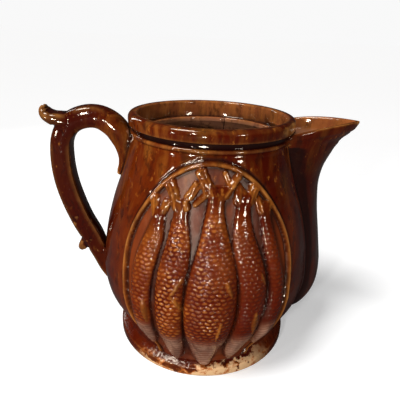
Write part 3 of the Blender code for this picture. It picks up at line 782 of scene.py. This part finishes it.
class Nodes:
    # short calls for the nodes of one tree
    def __init__(self, tree):
        self.tree = tree

    def add(self, kind, **settings):
        node = self.tree.nodes.new(kind)
        for name, value in settings.items():
            setattr(node, name, value)
        return node

    def feed(self, source, socket):
        if isinstance(source, bpy.types.NodeSocket):
            self.tree.links.new(source, socket)
        else:
            socket.default_value = source

    def split(self, source, kind="XYZ"):
        node = self.add("ShaderNodeSeparate" + kind)
        self.feed(source, node.inputs[0])
        return node.outputs[:3]

    def math(self, operation, *values):
        node = self.add("ShaderNodeMath", operation=operation)
        for value, socket in zip(values, node.inputs):
            self.feed(value, socket)
        return node.outputs[0]

    def fold(self, operation, first, *others):
        # one operation over any number of values, from left to right
        for other in others:
            first = self.math(operation, first, other)
        return first

    def product(self, *values):
        return self.fold("MULTIPLY", *values)

    def total(self, *values):
        return self.fold("ADD", *values)

    def most(self, *values):
        return self.fold("MAXIMUM", *values)

    def between(self, share, low, high):
        return self.total(self.product(share, high - low), low)

    def mix(self, factor, a, b):
        node = self.add("ShaderNodeMix", data_type="RGBA")
        self.feed(factor, node.inputs[0])
        self.feed(a, node.inputs[6])
        self.feed(b, node.inputs[7])
        return node.outputs[2]

    def over(self, colour, name, *factors):
        # a colour of the glaze laid over another, as strongly as the factors say
        return self.mix(self.product(*factors), colour, glaze[name])

    def ramp(self, value, low, high, out=(0.0, 1.0)):
        node = self.add("ShaderNodeMapRange", interpolation_type="SMOOTHSTEP")
        for socket, given in zip(node.inputs[:5], (value, low, high) + out):
            self.feed(given, socket)
        return node.outputs[0]

    def noise(self, vector, name):
        stretch, scale, detail, rough, distortion = noises[name]
        if stretch != 1.0:
            mapping = self.add("ShaderNodeMapping")
            self.feed(vector, mapping.inputs["Vector"])
            mapping.inputs["Scale"].default_value = (1.0, 1.0, stretch)
            vector = mapping.outputs["Vector"]
        node = self.add("ShaderNodeTexNoise")
        self.feed(vector, node.inputs["Vector"])
        for socket, value in zip(("Scale", "Detail", "Roughness", "Distortion"),
                                 (scale, detail, rough, distortion)):
            node.inputs[socket].default_value = value
        return node.outputs["Fac"]


# the near-black colour serves for glaze pooled in hollows and for painted shade
glaze = dict(
    maroon=(0.055, 0.0036, 0.0008, 1), redBrown=(0.095, 0.0095, 0.0015, 1),
    brown=(0.175, 0.029, 0.003, 1), honey=(0.3, 0.085, 0.01, 1), amber=(0.42, 0.135, 0.017, 1),
    crest=(0.5, 0.18, 0.03, 1), ochre=(0.5, 0.21, 0.05, 1), olive=(0.15, 0.07, 0.008, 1),
    mauve=(0.42, 0.22, 0.14, 1), rust=(0.38, 0.1, 0.015, 1), clay=(0.66, 0.4, 0.2, 1),
    pooledAndShade=(0.008, 0.002, 0.002, 1), mirrorLevel=0.4, mirrorTint=(1.0, 0.86, 0.7, 1),
    bumpStrength=0.8, bumpDistance=0.001)
# uneven patterns as scale down the pot against across it, then scale, detail, roughness and
# distortion of the noise
noises = dict(
    runs=(0.22, 95.0, 4.0, 0.6, 0.6), patches=(0.55, 26.0, 3.0, 0.55, 0.8),
    specks=(1.0, 620.0, 2.0, 0.6, 0.0), olive=(0.3, 60.0, 3.0, 0.5, 0.0),
    flecks=(0.5, 150.0, 4.0, 0.65, 0.4), amberFlecks=(0.6, 210.0, 3.0, 0.6, 0.0),
    clouds=(1.0, 46.0, 3.0, 0.6, 0.5), netting=(1.0, 64.0, 2.0, 0.5, 0.0),
    rubs=(1.0, 118.0, 2.0, 0.5, 0.0), ragged=(1.6, 90.0, 5.0, 0.7, 0.0),
    raggedBroad=(1.0, 28.0, 2.0, 0.5, 0.0), blotches=(1.0, 125.0, 3.0, 0.6, 0.0),
    bare=(1.0, 75.0, 4.0, 0.6, 0.0), clay=(1.0, 160.0, 4.0, 0.65, 0.0),
    waves=(1.0, 55.0, 2.0, 0.5, 0.0), grain=(1.0, 240.0, 3.0, 0.5, 0.0))
# stretches of the pitcher as an axis, where the stretch begins and where it is full
zones = dict(
    leftward=("x", 0.075, -0.07), onBody=("x", -0.118, -0.078), shoulder=("z", 0.11, 0.195),
    upperInside=("z", 0.11, 0.185), atSeat=("z", 0.202, 0.196), upperFish=("z", 0.09, 0.15),
    rightFish=("x", -0.008, 0.032), lowerFish=("z", 0.125, 0.075), handle=("x", -0.085, -0.1),
    handleBack=("x", -0.1, -0.106), lowerHandle=("z", 0.128, 0.104),
    underBead=("z", 0.186, 0.181), overGroove=("z", 0.204, 0.209),
    farSide=("y", 0.03, 0.032), crackTop=("z", 0.2015, 0.2008), crackFoot=("z", 0.17, 0.178),
    front=("y", -0.05, -0.076), rightward=("x", -0.018, 0.022), atFoot=("z", 0.022, 0.012))
crack = dict(at=0.015, edge=0.0005, core=0.00025)


def newGroup(name, *outputs):
    # a shared effect that reads one vector and puts out values
    group = bpy.data.node_groups.new(name, "ShaderNodeTree")
    group.interface.new_socket("Vector", in_out="INPUT", socket_type="NodeSocketVector")
    for output in outputs:
        group.interface.new_socket(output, in_out="OUTPUT", socket_type="NodeSocketFloat")
    n = Nodes(group)
    return group, n, n.add("NodeGroupInput").outputs["Vector"], n.add("NodeGroupOutput").inputs


def scaleGroup():
    # one fish scale repeated as bricks: how high the point lies on its scale
    group, n, grid, leave = newGroup("scalePattern", "Height")
    u, v, _ = n.split(grid)
    odd = n.product(n.math("FLOORED_MODULO", n.math("FLOOR", v), 2.0), 0.5)
    across = n.math("SUBTRACT", n.math("FRACT", n.total(u, odd)), 0.5)
    along = n.math("SUBTRACT", n.math("FRACT", v), 0.5)
    wide = n.math("POWER", n.math("DIVIDE", across, 0.48), 2.0)
    tall = n.math("POWER", n.math("DIVIDE", along, 0.4), 2.0)
    inside = n.most(n.math("SUBTRACT", 1.0, n.total(wide, tall)), 0.0)
    n.feed(n.math("SQRT", inside), leave["Height"])
    return group


def streakGroup():
    # runs and mottles of the glaze: uneven patches that run down the pot
    names = ("runs", "patches", "specks")
    group, n, place, leave = newGroup("glazeRuns", *names)
    for name in names:
        n.feed(n.noise(place, name), leave[name])
    return group


class GlazeNodes(Nodes):
    # the glaze's tree, with what it reads from the place on the pitcher and from the form
    def __init__(self, tree):
        super().__init__(tree)
        self.place = self.add("ShaderNodeTexCoord").outputs["Object"]
        self.axes = dict(zip("xyz", self.split(self.place)))
        cavity = self.add("ShaderNodeAttribute", attribute_name="cavityMap")
        self.fine, self.broad, self.inward = self.split(cavity.outputs["Color"], "Color")
        parts = self.add("ShaderNodeAttribute", attribute_name="partMap")
        self.scale, self.head, self.ground = self.split(parts.outputs["Color"], "Color")
        self.tail = parts.outputs["Alpha"]
        gridUv = self.add("ShaderNodeAttribute", attribute_name="scaleUv").outputs["Vector"]
        _, self.rows, self.shade = self.split(gridUv)
        self.scaleTop, = self.through(scaleGroup(), gridUv)
        self.runs, self.patches, self.specks = self.through(streakGroup(), self.place)
        self.blotches = self.noise(self.place, "blotches")
        self.leftward, self.onBody = self.zone("leftward"), self.zone("onBody")
        self.shoulder, self.atFoot = self.zone("shoulder"), self.zone("atFoot")
        self.onFish = self.ramp(self.scale, 0.0, 0.35)
        waves = self.total(self.product(self.rows, 2 * pi), self.product(self.patches, 5.0))
        self.stripes = self.product(self.math("SINE", waves), self.head)
        self.worn = self.product(self.head, self.ramp(self.runs, 0.38, 0.6, (0.45, 1.0)),
                                 self.ramp(self.stripes, -0.5, 0.7, (0.55, 1.0)))
        self.front = self.zone("front")
        ragged = self.total(self.noise(self.place, "ragged"),
                            self.product(self.noise(self.place, "raggedBroad"), 0.8))
        self.footEdge = self.total(self.product(self.axes["z"], -55.0), ragged)
        bareEdge = self.total(self.footEdge, self.product(self.zone("rightward"), 0.45))
        self.bare = self.product(self.ramp(bareEdge, 0.66, 0.74), self.front,
                                 self.pattern("bare", 0.62, 0.58))

    def through(self, group, source):
        node = self.add("ShaderNodeGroup", node_tree=group)
        self.feed(source, node.inputs[0])
        return node.outputs[:]

    def zone(self, name, out=(0.0, 1.0)):
        axis, begin, full = zones[name]
        return self.ramp(self.axes[axis], begin, full, out)

    def pattern(self, name, low, high, out=(0.0, 1.0)):
        return self.ramp(self.noise(self.place, name), low, high, out)


def flankColour(g):
    # maroon with amber runs on the shoulder, browner and with stronger runs to the left as painted
    # light on the lit side, darker on the handle, and lightened inside the mouth as painted light
    # the open inside of the mouth is made browner and amber, partly the glaze's own colour and
    # partly painted light
    openInside = g.product(g.ramp(g.inward, 0.45, 0.85), g.zone("upperInside"))
    onShoulder = g.product(g.shoulder, g.onBody)
    mottle = g.product(g.ramp(g.patches, 0.42, 0.7), g.ramp(g.onBody, 0.0, 1.0, (0.02, 0.42)))
    # browner with the mottles, a little browner to the left as painted light, and much browner
    # inside the mouth as painted light
    brownness = g.total(mottle, g.product(g.leftward, g.onBody, 0.06), g.product(openInside, 0.9))
    colour = g.mix(brownness, glaze["maroon"], glaze["brown"])
    # the amber runs are the glaze's own; their growth towards the left is painted light
    colour = g.over(colour, "amber", g.ramp(g.runs, 0.46, 0.72), g.between(onShoulder, 0.03, 0.33),
                    g.between(g.leftward, 0.3, 1.0))
    colour = g.over(colour, "amber", openInside, g.ramp(g.runs, 0.3, 0.7, (0.1, 0.5)))
    # mauve on the seat is a painted reflection of the light above
    colour = g.over(colour, "mauve", openInside, g.zone("atSeat", (0.1, 0.45)))
    # darker on the handle
    colour = g.over(colour, "pooledAndShade", g.ramp(g.onBody, 1.0, 0.0, (0.0, 0.35)))
    colour = g.over(colour, "olive", g.pattern("olive", 0.5, 0.75), onShoulder, 0.24)
    colour = g.over(colour, "pooledAndShade", g.pattern("flecks", 0.5, 0.66), 0.5)
    return g.over(colour, "amber", g.pattern("amberFlecks", 0.6, 0.72),
                  g.ramp(g.shoulder, 0.0, 1.0, (0.1, 0.4)))


def fishColour(g):
    # red-brown with amber clouds, the crests of the scales amber only inside the clouds; lighter to
    # the upper left as painted light and maroon to the lower right as painted shade
    # the amber clouds fade towards the right: painted light on the lit side
    clouds = g.product(g.pattern("clouds", 0.42, 0.66), g.ramp(g.leftward, 0.2, 0.6, (0.06, 1.0)))
    netted = g.product(g.scale, g.pattern("netting", 0.38, 0.6, (0.3, 1.0)))
    colour = g.mix(g.between(clouds, 0.1, 1.0), glaze["redBrown"], glaze["brown"])
    colour = g.over(colour, "maroon", g.ramp(g.scaleTop, 0.6, 0.0, (0.0, 0.9)), netted)
    # honey patches kept to the upper left of the fish: painted light
    colour = g.over(colour, "honey", g.ramp(g.patches, 0.4, 0.62, (0.02, 0.42)),
                    g.zone("upperFish"), g.ramp(g.leftward, 0.2, 0.6, (0.15, 1.0)))
    colour = g.over(colour, "crest", g.ramp(g.scaleTop, 0.5, 0.95), g.between(clouds, 0.1, 0.72),
                    netted)
    # the lower right of the fish turned maroon: painted shade
    return g.over(colour, "maroon", g.zone("rightFish"), g.zone("lowerFish"), 0.75)


def addCarving(g, colour):
    # the fish, their worn noses, the ground between them, and the tails and fins
    colour = g.mix(g.onFish, colour, fishColour(g))
    colour = g.over(colour, "mauve", g.worn)
    colour = g.over(colour, "brown", g.ground, g.ramp(g.patches, 0.4, 0.62, (0.25, 0.8)))
    return g.over(colour, "amber", g.tail, g.ramp(g.runs, 0.35, 0.65, (0.15, 0.55)))


def addEdges(g, colour):
    # the glaze is thin and pale on crests, less so on the mouldings, and pools dark in hollows; the
    # grooves and the fish's edges get painted shade
    offScales = g.math("SUBTRACT", 1.0, g.product(g.onFish, 0.8))
    thin = g.most(g.product(g.ramp(g.fine, 0.56, 0.84), offScales), g.ramp(g.broad, 0.68, 0.95),
                  g.product(g.ramp(g.fine, 0.52, 0.64), g.zone("handle", (0.0, 0.7))),
                  g.product(g.pattern("rubs", 0.6, 0.68), g.zone("handleBack"),
                            g.zone("lowerHandle"), 0.6))
    offMouldings = g.most(g.zone("underBead"), g.zone("overGroove"))
    colour = g.over(colour, "ochre", thin, g.ramp(offMouldings, 0.0, 1.0, (0.35, 1.0)),
                    g.ramp(g.runs, 0.35, 0.62, (0.3, 0.8)))
    colour = g.over(colour, "pooledAndShade", g.ramp(g.broad, 0.49, 0.33), 0.9)
    # dark pooled glaze in the fine hollows, and painted shade wherever the shade mask is set
    hollows = g.most(g.product(g.ramp(g.fine, 0.44, 0.18), offScales), g.shade)
    return g.over(colour, "pooledAndShade", hollows, 0.8)


def addCrack(g, colour):
    # a hairline crack across the far side of the seat
    apart = g.math("ABSOLUTE", g.math("SUBTRACT", g.axes["x"], crack["at"]))
    return g.over(colour, "pooledAndShade", g.ramp(apart, crack["edge"], crack["core"]), g.inward,
                  g.zone("farSide"), g.zone("crackTop"), g.zone("crackFoot"), 0.9)


def addFoot(g, colour):
    # rust and ochre where the glaze is thin at the foot, bare clay where it has worn off
    thin = g.product(g.ramp(g.footEdge, 0.3, 0.5), g.front, g.ramp(g.blotches, 0.44, 0.56))
    thinColour = g.mix(g.ramp(g.blotches, 0.54, 0.64), glaze["rust"], glaze["clay"])
    bareColour = g.mix(g.pattern("clay", 0.5, 0.66), glaze["clay"], glaze["rust"])
    return g.mix(g.bare, g.mix(thin, colour, thinColour), bareColour)


def pitcherMaterial():
    material, tree, shader = newMaterial("brownLeadGlaze")
    g = GlazeNodes(tree)
    colour = flankColour(g)
    for addLayer in (addCarving, addEdges, addCrack, addFoot):
        colour = addLayer(g, colour)
    g.feed(colour, shader.inputs["Base Color"])
    rough = g.total(g.ramp(g.specks, 0.3, 0.7, (0.05, 0.1)),
                    g.product(g.atFoot, g.ramp(g.blotches, 0.4, 0.6, (0.05, 0.2))),
                    g.product(g.bare, 0.55), g.product(g.ground, 0.32), g.product(g.worn, 0.12))
    g.feed(g.math("MINIMUM", rough, 1.0), shader.inputs["Roughness"])
    shader.inputs["Specular IOR Level"].default_value = glaze["mirrorLevel"]
    shader.inputs["Specular Tint"].default_value = glaze["mirrorTint"]
    height = g.total(g.product(g.scaleTop, g.scale, 0.45), g.product(g.stripes, 0.12),
                     g.product(g.noise(g.place, "waves"), 1.1), g.product(g.blotches, g.atFoot),
                     g.product(g.noise(g.place, "grain"), 0.2))
    bump = g.add("ShaderNodeBump")
    bump.inputs["Strength"].default_value = glaze["bumpStrength"]
    bump.inputs["Distance"].default_value = glaze["bumpDistance"]
    g.feed(height, bump.inputs["Height"])
    g.feed(bump.outputs["Normal"], shader.inputs["Normal"])
    return material


# Camera, floor and light

# the place is in body heights, the angles are in degrees
shot = dict(place=(-0.0625, -1.6132, 1.2862), yaw=1.05, pitch=22.5, roll=2.51, lens=36.0,
            sensor=36.0, clip=0.01)


def makeCamera():
    yaw, pitch, roll = (radians(shot[name]) for name in ("yaw", "pitch", "roll"))
    lens = bpy.data.cameras.new("camera")
    lens.sensor_width = shot["sensor"]
    lens.lens = shot["lens"]
    lens.clip_start = shot["clip"]
    scene.camera = newObject("camera", lens)
    turn = Matrix.Rotation(-yaw, 4, "Z") @ Matrix.Rotation(pi / 2 - pitch, 4, "X")
    turn @= Matrix.Rotation(roll, 4, "Z")
    scene.camera.matrix_world = Matrix.Translation(Vector(shot["place"]) * span) @ turn


studio = dict(
    floorSize=80.0, floorColour=(0.79, 0.79, 0.79, 1), floorDim=(0.07, 0.068, 0.066, 1),
    floorGlow=0.342, floorRough=0.8, seen=(0.945, 0.945, 0.945, 1), around=(0.024, 0.021, 0.019, 1),
    sunFrom=(-0.45, -0.3, 1.0), sunStrength=2.7, sunAngle=20.0, aim=(0, 0, 0.1),
    lights=(("windowLight", (-0.42, -0.9, 0.42), (0.05, 0.05), 4.0),
            ("tallLight", (-0.75, -0.66, 0.2), (0.05, 0.1), 2.0),
            ("lowLight", (-0.22, -0.98, 0.05), (0.08, 0.08), 3.6),
            ("sideLight", (0.6, -0.8, 0.4), (0.1, 0.1), 2.4),
            ("rimLight", (-0.62, 0.5, 0.42), (0.05, 0.5), 1.3)))


def lightPathMix(tree, socket, seen, other):
    # one colour for the camera, another for what the glaze mirrors
    n = Nodes(tree)
    rays = n.add("ShaderNodeLightPath")
    n.feed(n.mix(rays.outputs["Is Camera Ray"], other, seen), socket)


def makeStudio():
    shape = bmesh.new()
    bmesh.ops.create_grid(shape, x_segments=1, y_segments=1, size=studio["floorSize"] / 2)
    floor = newObject("floor", meshFrom("floor", shape))
    material, tree, shader = newMaterial("paleFloor")
    lightPathMix(tree, shader.inputs["Base Color"], studio["floorColour"], studio["floorDim"])
    lightPathMix(tree, shader.inputs["Emission Color"], (1, 1, 1, 1), (0, 0, 0, 1))
    shader.inputs["Emission Strength"].default_value = studio["floorGlow"]
    shader.inputs["Roughness"].default_value = studio["floorRough"]
    shader.inputs["Specular IOR Level"].default_value = 0.0
    floor.data.materials.append(material)
    world = bpy.data.worlds.new("studio")
    world.use_nodes = True
    background = world.node_tree.nodes["Background"]
    lightPathMix(world.node_tree, background.inputs["Color"], studio["seen"], studio["around"])
    scene.world = world
    sun = bpy.data.lights.new("softSun", "SUN")
    sun.energy = studio["sunStrength"]
    sun.angle = radians(studio["sunAngle"])
    aim(sun, Vector(studio["sunFrom"]))
    for name, place, size, power in studio["lights"]:
        light = bpy.data.lights.new(name, "AREA")
        light.shape = "RECTANGLE"
        light.size, light.size_y = size
        light.energy = power
        aim(light, Vector(place))


def aim(light, place):
    lamp = newObject(light.name, light)
    lamp.location = place
    lamp.rotation_euler = (Vector(studio["aim"]) - place).to_track_quat("-Z", "Y").to_euler()


# The piece

skin = joinForms()
softenJoints(skin)
skin.shade_smooth()
skin.set_sharp_from_angle(angle=radians(55))
storeMaps(skin)
pitcher = newObject("pitcherSkin", skin)
skin.materials.clear()
skin.materials.append(pitcherMaterial())
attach(pitcher, "root")
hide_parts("pitcher")
print("pitcher dressed")

makeCamera()
makeStudio()
print("studio ready")
